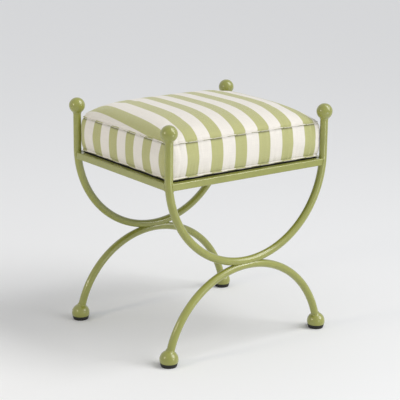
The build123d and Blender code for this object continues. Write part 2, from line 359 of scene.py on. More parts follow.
cover_cotton = striped_cotton("striped_cotton")
print("stripes:", round(STRIPE_PITCH * 1000, 1), "mm apart")

# %% [markdown]
# The cushion is boxed: a top panel, a band called the boxing, and a welt in each seam. It could be
# a remesh of the solids, but that forgets the seams and the map of the cloth. So a single closed
# mesh holds panel and boxing, and stuffing can push on both. Its plan is read from the welts of the
# frame's own cushion. The top is a grid that crowds towards its edges, where the crown is steep, and
# its corners are pulled onto the round corners of the seam with a mapping that keeps the grid lines
# smooth. Hand stuffing is never even: the crown stands steepest at the left and slopes most gently
# to the front. At each seam the stitches draw the cloth in. The shape starts a little small, because
# stuffing swells it.

# %% Sizes read from the frame


def coordinates(mesh):
    flat = np.empty(len(mesh.vertices) * 3, np.float32)
    mesh.vertices.foreach_get("co", flat)
    return flat.reshape(-1, 3).astype(float)


def box_of(name):
    """Lowest and highest corner of a frame piece."""
    places = coordinates(nodes[name].data) @ np.array(nodes[name].matrix_world)[:3, :3].T
    places += np.array(nodes[name].matrix_world)[:3, 3]
    return places.min(axis=0), places.max(axis=0)


welt_low, welt_high = box_of("top_welt")
welt_radius = (welt_high[2] - welt_low[2]) / 2
seam_half = welt_high[:2] - welt_radius
seam_top = welt_high[2] - welt_radius
seam_bottom = box_of("bottom_welt")[1][2] - welt_radius
crown_top = box_of("top_panel")[1][2]
swell = box_of("boxing")[1][0] - seam_half[0]
print("seam:", np.round(2 * seam_half, 4), "m")
print("crown:", round(crown_top - seam_top, 4), "m, swell of the boxing:", round(swell, 4), "m")

# %% Plan and heights of the cushion
SEAM_CORNER = 0.0120
CELLS = (96, 80)
EDGE_CROWDING = 0.78
SIDE_PULL = 0.0012
SEAM_TUCK = 0.0022
TUCK_RISE = 0.010
CROWN_LEFT = 7.0
CROWN_RIGHT = 4.8
CROWN_FRONT = 2.8
CROWN_REAR = 4.5
START_SHARE = 0.97


def crowded(count):
    """Even steps from -1 to 1, drawn together towards both ends."""
    even = np.linspace(-1, 1, count + 1)
    return (1 - EDGE_CROWDING) * even + EDGE_CROWDING * np.sin(even * math.pi / 2)


def rounded(plan, half, radius):
    """Pull a rectangle's points onto round corners."""
    reach = np.clip((np.abs(plan) - (half - radius)) / radius, 0, 1)
    other = reach[..., ::-1]
    pulled = half - radius + radius * reach * np.sqrt(1 - other**2 / 2)
    return np.where(reach > 0, np.sign(plan) * pulled, plan)


def drawn_in(plan):
    """Sides pull in a little between the corners."""
    share = plan / seam_half
    return plan * (1 - SIDE_PULL / seam_half * (1 - np.clip(share[..., ::-1] ** 2, 0, 1)))


def fullness(share, low_power, high_power):
    """How far the crown has risen across one direction; a higher power is a steeper side."""
    power = np.where(share < 0, low_power, high_power)
    return np.sqrt(np.clip(1 - np.abs(share) ** power, 0, 1))


def tuck(rise):
    """How far the cloth is drawn in at a height above or below its seam."""
    return SEAM_TUCK * np.clip(1 - rise / TUCK_RISE, 0, 1) ** 2


grid = np.stack(np.meshgrid(crowded(CELLS[0]), crowded(CELLS[1]), indexing="ij"), axis=-1)
top_plan = rounded(grid * seam_half, seam_half, SEAM_CORNER)
crown_across = fullness(grid[..., 0], CROWN_LEFT, CROWN_RIGHT)
crown_deep = fullness(grid[..., 1], CROWN_FRONT, CROWN_REAR)
crown_rise = START_SHARE * (crown_top - seam_top) * (crown_across * crown_deep)
top_plan_tucked = drawn_in(top_plan) * (1 - tuck(crown_rise)[..., None] / seam_half)
print("top panel:", grid.shape[0], "by", grid.shape[1], "points")

# %% [markdown]
# The boxing hangs from the outline of that grid, so its columns start at the grid's edge points. It
# begins and ends at the back right corner, behind a post, which is where an upholsterer would hide
# the join. Its U runs on round the corners, eased a little there, and is zero at the middle of the
# front so that its stripes meet those of the top panel. On the panel U could be the plain distance
# from the middle, but then the stripes would widen on the slopes. It is the length of cloth over
# the crown, drawn together a little towards the back, as a panel is when it is pulled tight from
# that side. A flat grid closes the underside, where the board is.

# %% Cloth map of the cushion
CORNER_EASE = 0.90
STRIPE_FAN = 0.17
ON_CORNER = 1e-6


def outline_walk(columns, rows):
    """Grid indices round the edge, from the back right corner along back, left, front and right."""
    back = [(i, rows) for i in range(columns, 0, -1)]
    left = [(0, j) for j in range(rows, 0, -1)]
    front = [(i, 0) for i in range(columns)]
    right = [(columns, j) for j in range(rows)]
    return back + left + front + right


walk = outline_walk(*CELLS)
around = len(walk)
edge_plan = np.array([top_plan[i, j] for i, j in walk])
arc_centre = np.clip(edge_plan, SEAM_CORNER - seam_half, seam_half - SEAM_CORNER)
edge_out = edge_plan - arc_centre
edge_out /= np.linalg.norm(edge_out, axis=1, keepdims=True)
steps = np.linalg.norm(np.roll(edge_plan, -1, axis=0) - edge_plan, axis=1)
in_corner = np.all(np.abs(edge_out) > ON_CORNER, axis=1)
eased = np.where(in_corner | np.roll(in_corner, -1), steps * CORNER_EASE, steps)
edge_u = np.concatenate([[0.0], np.cumsum(eased)])
front_middle = walk.index((CELLS[0] // 2, 0))
edge_u -= edge_u[front_middle]

over_crown = np.hypot(np.diff(top_plan[..., 0], axis=0), np.diff(crown_rise, axis=0))
top_u = np.concatenate([np.zeros((1, CELLS[1] + 1)), np.cumsum(over_crown, axis=0)])
top_u -= top_u[CELLS[0] // 2]
top_u *= 1 + STRIPE_FAN * (1 + grid[0, :, 1]) / 2
top_map = np.stack([top_u, top_plan[..., 1]], axis=-1)
print("boxing cloth:", round(edge_u[-1] - edge_u[0], 3), "m round the cushion")

# %% Points of the cushion
BOXING_ROWS = 18
BOXING_POWER = 2.8
BOXING_FULLNESS = 1.2


def top_index(i, j):
    return i * (CELLS[1] + 1) + j


points = []
for spot in np.ndindex(crown_rise.shape):
    points.append((*top_plan_tucked[spot], seam_top + crown_rise[spot]))

rings = [[top_index(i, j) for i, j in walk]]
boxing_levels = crowded(BOXING_ROWS)
boxing_height = seam_top - seam_bottom
boxing_drop = boxing_height * (1 + boxing_levels) / 2
for level, drop in zip(boxing_levels[1:], boxing_drop[1:]):
    bulge = START_SHARE * BOXING_FULLNESS * swell * (1 - abs(level) ** BOXING_POWER)
    bulge -= tuck(min(drop, boxing_height - drop))
    rings.append(list(range(len(points), len(points) + around)))
    for plan, out in zip(edge_plan, edge_out):
        points.append((*(drawn_in(plan) + bulge * out), seam_top - drop))

under = dict(zip(walk, rings[-1]))
for i in range(1, CELLS[0]):
    for j in range(1, CELLS[1]):
        under[i, j] = len(points)
        points.append((*(drawn_in(top_plan[i, j]) * (1 - SEAM_TUCK / seam_half)), seam_bottom))
print("cushion:", len(points), "points")

# %% Faces of the cushion
faces = []
cloth_uv = []
for i, j in np.ndindex(CELLS):
    corners = [(i, j), (i + 1, j), (i + 1, j + 1), (i, j + 1)]
    faces.append([top_index(*corner) for corner in corners])
    cloth_uv.extend(top_map[corner] for corner in corners)
for row, column in np.ndindex(BOXING_ROWS, around):
    following = (column + 1) % around
    corners = [(row, column), (row + 1, column), (row + 1, following), (row, following)]
    faces.append([rings[level][spot] for level, spot in corners])
    near, far = edge_u[column : column + 2]
    upper, lower = boxing_height - boxing_drop[row : row + 2]
    cloth_uv.extend([(near, upper), (near, lower), (far, lower), (far, upper)])
for i, j in np.ndindex(CELLS):
    corners = [(i, j), (i, j + 1), (i + 1, j + 1), (i + 1, j)]
    faces.append([under[corner] for corner in corners])
    cloth_uv.extend(top_plan[corner] for corner in corners)


def mesh_piece(name, vertices, polygons, uv=None, material=None):
    """A named piece from points and faces, with its cloth map and finish."""
    mesh = bpy.data.meshes.new(name)
    mesh.from_pydata([tuple(map(float, point)) for point in vertices], [], polygons)
    mesh.validate()
    if uv is not None:
        layer = mesh.uv_layers.new(name="cloth")
        layer.data.foreach_set("uv", np.array(uv, np.float32).ravel())
    mesh.shade_smooth()
    piece = bpy.data.objects.new(name, mesh)
    bpy.context.scene.collection.objects.link(piece)
    if material is not None:
        mesh.materials.append(material)
    return piece


cushion = mesh_piece("seat_cushion", points, faces, cloth_uv, cover_cotton)
print("cushion:", len(faces), "faces")

# %% [markdown]
# Stuffing is air pressure here. The crown could be drawn by its curve alone, but cloth that was
# never pulled tight looks moulded. The cloth solver holds the seams and the flat underside still and
# swells the rest, which draws the cloth tight along the seams and puffs it between them, much as
# batting does. The move of each point is capped, so that the cushion keeps to the space that the
# frame gives it.

# %% Stuff the cushion
PRESSURE = 4.0
CLOTH_SHRINK = 0.004
CLOTH_QUALITY = 6
STUFFING_FRAMES = 20
MOVE_CAP = 0.0025


def put_back(mesh, places):
    mesh.vertices.foreach_set("co", places.astype(np.float32).ravel())
    mesh.update()


def baked(piece):
    """Replace a piece's mesh by what its modifiers make of it."""
    view = bpy.context.evaluated_depsgraph_get()
    made = bpy.data.meshes.new_from_object(
        piece.evaluated_get(view), preserve_all_data_layers=True, depsgraph=view
    )
    piece.modifiers.clear()
    piece.data = made
    return piece


def stuff(piece, held):
    """Swell a piece and keep the held points where they are; says how far the solver moved it."""
    seams = piece.vertex_groups.new(name="seams")
    seams.add(held, 1.0, "REPLACE")
    before = coordinates(piece.data)
    cloth = piece.modifiers.new("stuffing", "CLOTH")
    cloth.settings.quality = CLOTH_QUALITY
    cloth.settings.use_pressure = True
    cloth.settings.uniform_pressure_force = PRESSURE
    cloth.settings.shrink_min = CLOTH_SHRINK
    cloth.settings.effector_weights.gravity = 0
    cloth.settings.vertex_group_mass = "seams"
    cloth.point_cache.frame_end = STUFFING_FRAMES
    for step in range(1, STUFFING_FRAMES + 1):
        bpy.context.scene.frame_set(step)
    baked(piece)
    bpy.context.scene.frame_set(1)
    move = coordinates(piece.data) - before
    length = np.linalg.norm(move, axis=1, keepdims=True)
    put_back(piece.data, before + move * MOVE_CAP / (MOVE_CAP + length))
    return float(length.max())


furthest = stuff(cushion, rings[0] + list(under.values()))
print("stuffing pulled a point by up to", round(furthest * 1000, 1), "mm before the cap")

# %% [markdown]
# Now the mesh is refined once, with its seams kept sharp, and small gathers are added where cloth
# is sewn to the welts. A bump in the finish could draw them, but they would be missing from the
# outline, so they are moved into the mesh. They fade within two fingers of the seam and are deeper
# near the corners, where the strip is eased round.

# %% Refine the cushion
crease = cushion.data.attributes.new("crease_edge", "FLOAT", "EDGE")
seam_points = set(rings[0]) | set(rings[-1])
sewn = [1.0 if set(edge.vertices) <= seam_points else 0.0 for edge in cushion.data.edges]
crease.data.foreach_set("value", sewn)
refine = cushion.modifiers.new("refine", "SUBSURF")
refine.levels = 1
refine.render_levels = 1
baked(cushion)
print("cushion now:", len(cushion.data.vertices), "points")

# %% Gathers along the seams
GATHER_DEPTH = 0.00045
GATHER_LENGTHS = (0.008, 0.022)
GATHER_WAVES = 6
GATHER_FADE = 0.012
GATHER_CORNER = 0.045
CORNER_GAIN = 1.4
STITCH_HOLD = 0.0025
GATHER_SEED = 7


def gathers(count, rng):
    """A seeded run of folds: sines of mixed length that never repeat along a side."""
    lengths = rng.uniform(*GATHER_LENGTHS, count)
    phases = rng.uniform(0, 2 * math.pi, count)

    def height(along):
        waves = np.sin(along[:, None] * (2 * math.pi / lengths) + phases)
        return waves.sum(axis=1) / math.sqrt(count)

    return height


places = coordinates(cushion.data)
normals = np.empty(len(places) * 3, np.float32)
cushion.data.vertices.foreach_get("normal", normals)
normals = normals.reshape(-1, 3)
rng = np.random.default_rng(GATHER_SEED)
lift = np.zeros(len(places))
corner_gap = np.linalg.norm(np.abs(places[:, :2]) - seam_half, axis=1)
stronger = 1 + CORNER_GAIN * np.exp(-corner_gap / GATHER_CORNER)
for axis in (0, 1):
    for side in (-1, 1):
        folds = gathers(GATHER_WAVES, rng)(places[:, 1 - axis])
        plan_gap = np.abs(side * seam_half[axis] - places[:, axis])
        for seam_height in (seam_top, seam_bottom):
            gap = np.hypot(plan_gap, places[:, 2] - seam_height)
            sewn_in = 1 - np.exp(-((gap / STITCH_HOLD) ** 2))
            lift += folds * np.exp(-gap / GATHER_FADE) * sewn_in
places += normals * (lift * stronger * GATHER_DEPTH)[:, None]
print("gathers:", round(np.abs(lift * stronger).max() * GATHER_DEPTH * 1000, 2), "mm at most")

# %% [markdown]
# Where the boxing comes near a post it is pressed back, because metal doesn't give. Beside a welt
# the cotton's colour is darkened as painted shade, for the shadow that falls in the groove under
# the welt. The finish could work that out from the height alone, but the welts share it and lie in
# the groove themselves, so each piece carries its own measure of painted shade by how deep a point
# lies.

# %% Posts and grooves
POST_CLEARANCE = 0.0004
GROOVE_SHADE_WIDTH = 0.0020
GROOVE_SHADE_DROP = 0.0022

bow_low, bow_high = box_of("front_bow")
tube_radius = (bow_high[1] - bow_low[1]) / 2
post_axis = np.array([bow_high[0] - tube_radius, -(bow_low[1] + tube_radius)])
away = np.abs(places[:, :2]) - post_axis
gap = np.linalg.norm(away, axis=1, keepdims=True)
limit = tube_radius + POST_CLEARANCE
beside_post = np.sign(places[:, :2]) * (post_axis + away / gap * limit)
places[:, :2] = np.where(gap < limit, beside_post, places[:, :2])
put_back(cushion.data, places)
cushion.data.shade_smooth()


def note_groove_shade(piece, shade_depth):
    """Keep how deep each point lies in a seam's groove, 0 to 1, for the finish's painted shade."""
    groove_shade = piece.data.attributes.new("groove_shade", "FLOAT", "POINT")
    groove_shade.data.foreach_set("value", shade_depth.astype(np.float32))


# Painted shade: a band just under the upper seam, and at half strength just over the lower seam.
below_seam = seam_top - GROOVE_SHADE_DROP - places[:, 2]
above_seam = places[:, 2] - GROOVE_SHADE_DROP - seam_bottom
upper_groove_shade = np.exp(-((below_seam / GROOVE_SHADE_WIDTH) ** 2))
lower_groove_shade = np.exp(-((above_seam / GROOVE_SHADE_WIDTH) ** 2)) / 2
note_groove_shade(cushion, upper_groove_shade + lower_groove_shade)
print("pressed back by posts:", int((gap < limit).sum()), "points")
print("cushion top at", round(places[:, 2].max(), 4), "m")

# %% [markdown]
# A welt is a cord wrapped in a bias-cut strip of the same cotton and sewn into the seam. Cutting on
# the bias leans its stripes, which is why they look like short dashes from the side. The cord
# follows the seam by hand, so it wanders by a hair and its roundness varies. The upper one is pulled
# deep into its groove, and the lower one stands out over the rails. A curve with a round bevel would
# be quick, but a welt's map has to follow the cloth, so it is made as rings of points carried round
# the seam.

# %% Outline of a seam
ARC_STEPS = 12
SIDE_STEPS = (190, 160)
QUADRANTS = ((1, 1), (-1, 1), (-1, -1), (1, -1))


def outline(half, radius):
    """Points round a rounded rectangle from its back right corner, and each one's way outward."""
    plan = []
    outward = []
    for corner, quadrant in enumerate(QUADRANTS):
        centre = (half - radius) * np.array(quadrant)
        following = (half - radius) * np.array(QUADRANTS[(corner + 1) % len(QUADRANTS)])
        for step in range(ARC_STEPS):
            angle = (corner + step / ARC_STEPS) * math.pi / 2
            outward.append(np.array([math.cos(angle), math.sin(angle)]))
            plan.append(centre + radius * outward[-1])
        angle = (corner + 1) * math.pi / 2
        facing = np.array([math.cos(angle), math.sin(angle)])
        for step in range(SIDE_STEPS[corner % 2]):
            share = step / SIDE_STEPS[corner % 2]
            outward.append(facing)
            plan.append(centre + (following - centre) * share + radius * facing)
    return np.array(plan), np.array(outward)


def lengths_along(plan):
    """Distance walked to each point of a closed outline, and back to the first."""
    strides = np.linalg.norm(np.roll(plan, -1, axis=0) - plan, axis=1)
    return np.concatenate([[0.0], np.cumsum(strides)])


seam_length = lengths_along(outline(seam_half, SEAM_CORNER)[0])[-1]
print("seam:", round(seam_length, 3), "m round")

# %% Welts
WELT_SEGMENTS = 14
UPPER_WELT = (0.64, 0.0015)
LOWER_WELT = (0.92, 0.0009)
WELT_WANDER = 0.0003
WELT_UNEVEN = 0.05
WELT_SLANT = 1.6
WELT_SHIFT = 0.004
WELT_START = STRIPE_START + WELT_SHIFT
WELT_GREEN = 0.026
# Painted shade on a welt: its share at the outward side, and how fast it grows towards the
# underside.
WELT_UNDERSIDE_SHADE = 0.2
WELT_SHADE_RISE = 1.5
WELT_SEED = 19
DRIFT_TURNS = (6, 70)
DRIFT_WAVES = 9
DRIFT_REACH = 4


def ring_piece(name, rings, across, along, material):
    """Closed rings of points, joined one to the next all the way round, with a map in metres."""
    count, size = rings.shape[:2]
    polygons = []
    uv = []
    for ring, spot in np.ndindex(count, size):
        after = (ring + 1) % count
        beside = (spot + 1) % size
        corners = [(ring, spot), (after, spot), (after, beside), (ring, beside)]
        polygons.append([first * size + second for first, second in corners])
        near, far = across[ring : ring + 2]
        low, high = along[spot : spot + 2]
        uv.extend([(near, low), (far, low), (far, high), (near, high)])
    return mesh_piece(name, rings.reshape(-1, 3), polygons, uv, material)


def hand_drift(walked, rng):
    """Seeded waves along a closed seam, mostly from -1 to 1, that meet where it closes."""
    drift = np.zeros(len(walked) - 1)
    for turns in rng.integers(*DRIFT_TURNS, DRIFT_WAVES):
        phase = rng.uniform(0, 2 * math.pi)
        drift += np.sin(walked[:-1] / walked[-1] * 2 * math.pi * turns + phase)
    return drift / DRIFT_REACH


def welt(name, seam_height, share_and_tuck, rng):
    """A cord in a seam: its share of the full girth, and how deep it sits."""
    share, sunk = share_and_tuck
    plan, outward = outline(seam_half, SEAM_CORNER)
    walked = lengths_along(plan)
    plan = drawn_in(plan) + outward * (hand_drift(walked, rng) * WELT_WANDER - sunk)[:, None]
    height = seam_height + hand_drift(walked, rng) * WELT_WANDER
    girth = share * welt_radius * (1 + hand_drift(walked, rng) * WELT_UNEVEN)
    turn = np.linspace(0, 2 * math.pi, WELT_SEGMENTS + 1)
    rings = np.empty((len(plan), WELT_SEGMENTS, 3))
    for segment in range(WELT_SEGMENTS):
        rings[:, segment, :2] = plan + outward * (girth * math.cos(turn[segment]))[:, None]
        rings[:, segment, 2] = height + girth * math.sin(turn[segment])
    front = np.argmin(np.abs(plan[:, 0]) + plan[:, 1])
    cord = ring_piece(name, rings, walked - walked[front], turn * welt_radius, welt_cotton)
    # Painted shade on the underside of the welt; its upper side keeps its colour.
    shade_depth = np.clip(WELT_UNDERSIDE_SHADE - np.sin(turn[:-1]) * WELT_SHADE_RISE, 0, 1)
    note_groove_shade(cord, np.tile(shade_depth, len(plan)))
    return cord


welt_cotton = striped_cotton("welt_cotton", WELT_SLANT, WELT_START, WELT_GREEN)
welt_rng = np.random.default_rng(WELT_SEED)
upper_welt = welt("upper_welt", seam_top, UPPER_WELT, welt_rng)
lower_welt = welt("lower_welt", seam_bottom, LOWER_WELT, welt_rng)
print("welts:", len(upper_welt.data.vertices), "points each")

# %% [markdown]
# Under the lower welt a strip of black lining covers the edge of the board and turns under it, and
# a black dust cover closes the underside. They are seen as the dark line between cushion and rails,
# and from below. Black paint on the board would give the line but not the fold. The strip is one
# section carried round the board, and the dust cover is a stretched sheet that sags a little in its
# middle.

# %% Black lining
LINING_SHEEN = {"Sheen Weight": 0.1, "Specular IOR Level": 0.2}
FIBRE_TONE = 0.7
LINT_TONE = 0.3


def black_lining():
    lining = Finish("black_lining", LINING_SHEEN)
    where = lining.place()
    fibres = lining.noise(where, scale=(420.0, 1300.0, 800.0), detail=4.0)
    lint = lining.noise(where, scale=60.0, detail=3.0)
    share = fibres * FIBRE_TONE + lint * LINT_TONE
    lining.tones(share, shade(14, 14, 13), shade(44, 43, 40))
    lining.roughness(least=0.78, rise=0.2, pattern=fibres)
    lining.relief(fibres, distance=0.0004, strength=0.7)
    return lining.material


lining_black = black_lining()
print("lining:", lining_black.name)

# %% Lining strip
LINING_CORNER = 0.0118
LINING_THICKNESS = 0.0012
LINING_TURN = 0.025
LINING_ROUND = 0.0014
LINING_BEND = 0.3
SHARPEST_CORNER = 0.0004

strip_low, strip_high = box_of("pull_strip")
strip_half = strip_high[:2]


def lining_section():
    """The inner face down to the turned edge, then the underside, the turn and the outer face."""
    top, bottom = strip_high[2], strip_low[2]
    inner = LINING_THICKNESS
    return [
        (inner, top),
        (inner, bottom + inner),
        (LINING_TURN, bottom + inner),
        (LINING_TURN, bottom),
        (LINING_ROUND, bottom),
        (LINING_ROUND * LINING_BEND, bottom + LINING_ROUND * LINING_BEND),
        (0.0, bottom + LINING_ROUND),
        (0.0, top),
    ]


def lining_strip():
    """The section carried round the board, and the width and length that it is cut to."""
    section = lining_section()
    rings = []
    for inset, height in section:
        plan, _ = outline(strip_half - inset, max(LINING_CORNER - inset, SHARPEST_CORNER))
        rings.append(np.column_stack([plan, np.full(len(plan), height)]))
    walked = lengths_along(outline(strip_half, LINING_CORNER)[0])
    folded = lengths_along(np.array(section))
    cut = (float(strip_high[2] - strip_low[2]) + LINING_TURN, float(walked[-1]))
    return ring_piece("lining_strip", np.stack(rings, axis=1), walked, folded, lining_black), cut


strip, strip_cut = lining_strip()
print("lining strip:", np.round(strip_cut, 3), "m")

# %% Dust cover
COVER_CELLS = (60, 50)
COVER_SAG = 0.0022
SCREW_GAP = 0.0052


def under_cover():
    """The sheet under the board, open where the four screws pass, and its size."""
    low, high = box_of("dust_cover")
    half = high[:2]
    screw_spots = np.abs(coordinates(nodes["seat_screws"].data)[:, :2])
    screw_axis = (screw_spots.min(axis=0) + screw_spots.max(axis=0)) / 2
    lines = [np.linspace(-1, 1, count + 1) for count in COVER_CELLS]
    spread = np.stack(np.meshgrid(*lines, indexing="ij"), axis=-1)
    plan = rounded(spread * half, half, LINING_CORNER)
    sag = COVER_SAG * np.prod((1 - spread**2) ** 2, axis=-1)
    vertices = np.concatenate([plan, (high[2] - sag)[..., None]], axis=-1).reshape(-1, 3)
    row = COVER_CELLS[1] + 1
    polygons = []
    for i, j in np.ndindex(COVER_CELLS):
        middle = np.abs(plan[i : i + 2, j : j + 2].mean(axis=(0, 1)))
        if np.linalg.norm(middle - screw_axis) > SCREW_GAP:
            first = i * row + j
            polygons.append([first, first + 1, first + row + 1, first + row])
    cover = mesh_piece("dust_sheet", vertices, polygons, None, lining_black)
    wall = cover.modifiers.new("cloth", "SOLIDIFY")
    wall.thickness = high[2] - low[2]
    wall.offset = 1.0
    return baked(cover), 2 * half


dust_sheet, dust_size = under_cover()
print("dust cover:", np.round(dust_size, 3), "m")

# %% [markdown]
# What repeats along a line could be copied in a loop, but Geometry Nodes keep the rule: a tree
# takes bare edges, turns them into curves and sets something along them. The class below builds
# such a tree with named sizes, runs it on a piece and keeps the plain mesh that comes out.

# %% Trees that grow along a line


class Growth(Tree):
    """A Geometry Nodes tree with named inputs for its sizes."""

    def __init__(self, name, **sizes):
        super().__init__(bpy.data.node_groups.new(name, "GeometryNodeTree"))
        self.sizes = {}
        interface = self.tree.interface
        interface.new_socket("Path", in_out="INPUT", socket_type="NodeSocketGeometry")
        for size, value in sizes.items():
            socket = interface.new_socket(size, in_out="INPUT", socket_type="NodeSocketFloat")
            self.sizes[socket.identifier] = value
        interface.new_socket("Result", in_out="OUTPUT", socket_type="NodeSocketGeometry")
        self.entry = self.tree.nodes.new("NodeGroupInput")
        self.exit = self.tree.nodes.new("NodeGroupOutput")
        self.path = self.node("GeometryNodeMeshToCurve", {}, {"Mesh": self.given("Path")})

    def given(self, name):
        return Wire(self, self.entry.outputs[name])

    def stations(self, step):
        """The path with a point at every step."""
        sockets = {"Curve": self.path, "Length": step}
        return self.node("GeometryNodeResampleCurve", {"mode": "LENGTH"}, sockets)

    def rod(self, curve, radius, sides, capped):
        """A round bar along a curve."""
        circle = {"Resolution": sides, "Radius": radius}
        section = self.node("GeometryNodeCurvePrimitiveCircle", {}, circle)
        sockets = {"Curve": curve, "Profile Curve": section, "Fill Caps": capped}
        return self.node("GeometryNodeCurveToMesh", {}, sockets)

    def run(self, piece, grown, material):
        """Realize, give the finish, and leave the result as the piece's own mesh."""
        realized = self.node("GeometryNodeRealizeInstances", {}, {"Geometry": grown})
        sockets = {"Geometry": realized, "Material": material}
        finished = self.node("GeometryNodeSetMaterial", {}, sockets)
        self.feed(self.exit.inputs["Result"], finished)
        modifier = piece.modifiers.new("growth", "NODES")
        modifier.node_group = self.tree
        for identifier, value in self.sizes.items():
            modifier[identifier] = value
        return baked(piece)


def line_piece(name, loops, closed):
    """Bare edges along each loop of points."""
    vertices = np.concatenate(loops)
    edges = []
    first = 0
    for loop in loops:
        last = len(loop) - 1
        edges.extend((first + k, first + k + 1) for k in range(last))
        if closed:
            edges.append((first + last, first))
        first += len(loop)
    piece = mesh_piece(name, vertices, [])
    piece.data.edges.add(len(edges))
    piece.data.edges.foreach_set("vertices", np.array(edges).ravel())
    piece.data.update()
    return piece


# %% [markdown]
# Each bow is welded into the notch of its leg arch, and the rails are welded round the bows. A bead
# could be guessed by eye, but bow and arch are bent to one radius, so their surfaces meet in a
# level, eye-shaped line that can be worked out. At a corner, one bead runs round the two rails where
# they meet the tube. The bead's girth ripples with the steps of the weld, and the same paint covers
# it.

# %% Lines of the welds
RAIL_ROUND = 0.0012
SWEEP_POINTS = 48
DROP_POINTS = 8
EYE_POINTS = 160
EYE_REACH = 0.003

bow_radius = post_axis[0]
bow_axis_low = bow_low[2] + tube_radius
spring_height = bow_axis_low + bow_radius
arch_axis_high = box_of("front_leg_arch")[1][2] - tube_radius
meeting_height = (bow_axis_low + arch_axis_high) / 2
rail_low, rail_high = box_of("front_rail")


def crossing_line(side):
    """Where the surfaces of a bow and its leg arch meet."""
    drop = spring_height - meeting_height
    reach = math.sqrt((bow_radius + tube_radius) ** 2 - drop**2)
    loop = []
    for turn in np.linspace(0, 2 * math.pi, EYE_POINTS, endpoint=False):
        x = reach * math.cos(turn)
        rise = math.hypot(x, drop) - bow_radius
        y = math.copysign(math.sqrt(max(tube_radius**2 - rise**2, 0)), math.sin(turn))
        along = x + EYE_REACH * math.cos(turn) ** 3
        loop.append((along, side * post_axis[1] + y, meeting_height))
    return np.array(loop)


def corner_line(side_x, side_y):
    """Where a corner's two rails meet the bow's tube: round the top, down, back below and up."""
    half_rail = (rail_high[1] - rail_low[1]) / 2
    flat = math.asin((half_rail - RAIL_ROUND) / tube_radius)
    face = math.asin(half_rail / tube_radius)
    sweep = np.linspace(-flat, math.pi / 2 + flat, SWEEP_POINTS)
    drop = np.linspace(rail_high[2] - RAIL_ROUND, rail_low[2] + RAIL_ROUND, DROP_POINTS)
    stations = [(turn, rail_high[2]) for turn in sweep]
    stations += [(math.pi / 2 + face, height) for height in drop]
    stations += [(turn, rail_low[2]) for turn in sweep[::-1]]
    stations += [(-face, height) for height in drop[::-1]]
    loop = []
    for turn, height in stations:
        axis_x = math.sqrt(bow_radius**2 - (spring_height - height) ** 2)
        x = side_x * (axis_x - tube_radius * math.cos(turn))
        y = side_y * (post_axis[1] - tube_radius * math.sin(turn))
        loop.append((x, y, height))
    return np.array(loop)


crossings = [crossing_line(side) for side in (-1, 1)]
rail_corners = [corner_line(x, y) for x, y in QUADRANTS]
print("bows and arches meet at", round(meeting_height, 4), "m")

# %% Weld beads
CROSSING_BEAD = 0.0024
CORNER_BEAD = 0.0014
BEAD_SIDES = 10
WELD_STEP = 0.0032
WELD_RIPPLE = 0.10
POINTS_A_STEP = 6


def weld_bead(name, loops, girth):
    growth = Growth("weld_bead", Girth=girth, Step=WELD_STEP, Ripple=WELD_RIPPLE)
    even = growth.stations(growth.given("Step") / POINTS_A_STEP)
    walked = growth.node("GeometryNodeSplineParameter", out="Length")
    phase = walked / growth.given("Step") * (2 * math.pi)
    scale = phase.math("SINE", phase) * growth.given("Ripple") + 1
    shaped = growth.node("GeometryNodeSetCurveRadius", {}, {"Curve": even, "Radius": scale})
    bead = growth.rod(shaped, growth.given("Girth"), BEAD_SIDES, capped=False)
    piece = growth.run(line_piece(name, loops, closed=True), bead, sage_paint)
    piece.data.shade_smooth()
    return piece


crossing_welds = weld_bead("crossing_welds", crossings, CROSSING_BEAD)
corner_welds = weld_bead("corner_welds", rail_corners, CORNER_BEAD)
print("welds:", len(crossing_welds.data.polygons) + len(corner_welds.data.polygons), "faces")

# %% [markdown]
# A row of wire staples holds the dust cover to the board, between the corner plates. They could be
# dots in the lining's finish, but from below they catch the light. One staple is a short length of
# wire with its ends turned into the board, and the tree sets it at even steps and turns it along
# each side.

# %% Staples
STAPLE_STEP = 0.026
STAPLE_WIDTH = 0.0095
STAPLE_LEG = 0.0006
STAPLE_WIRE = 0.00045
STAPLE_SIDES = 6
STAPLE_PROUD = 0.6
STAPLE_INSET = 0.009
STAPLE_MARGIN = 0.072


def staple_lines():
    low, high = box_of("dust_cover")
    level = low[2] - STAPLE_WIRE * STAPLE_PROUD
    across, deep = high[:2] - STAPLE_INSET
    end_x, end_y = high[:2] - STAPLE_MARGIN
    lines = []
    for side in (-1, 1):
        lines.append(np.array([(-end_x, side * deep, level), (end_x, side * deep, level)]))
    for side in (-1, 1):
        lines.append(np.array([(side * across, -end_y, level), (side * across, end_y, level)]))
    return lines


def staple_row(name):
    sizes = {"Step": STAPLE_STEP, "Width": STAPLE_WIDTH, "Leg": STAPLE_LEG, "Wire": STAPLE_WIRE}
    growth = Growth("staples", **sizes)

    def bend(side, leg):
        x = growth.given("Width") * (side / 2)
        return growth.node("ShaderNodeCombineXYZ", {}, {"X": x, "Z": leg})

    leg = growth.given("Leg")
    left, right = bend(-1, 0.0), bend(1, 0.0)
    left_tip, right_tip = bend(-1, leg), bend(1, leg)
    staple = growth.tree.nodes.new("GeometryNodeJoinGeometry")
    for start, end in ((left, right), (left_tip, left), (right, right_tip)):
        line = growth.node("GeometryNodeCurvePrimitiveLine", {}, {"Start": start, "End": end})
        bar = growth.rod(line, growth.given("Wire"), STAPLE_SIDES, capped=True)
        growth.feed(staple.inputs[0], bar)
    tangent = growth.node("GeometryNodeInputTangent")
    sockets = {
        "Points": growth.stations(growth.given("Step")),
        "Instance": Wire(growth, staple.outputs[0]),
        "Rotation": growth.node(
            "FunctionNodeAlignRotationToVector", {"axis": "X"}, {"Vector": tangent}
        ),
    }
    placed = growth.node("GeometryNodeInstanceOnPoints", {}, sockets)
    return growth.run(line_piece(name, staple_lines(), closed=False), placed, fixing_zinc)


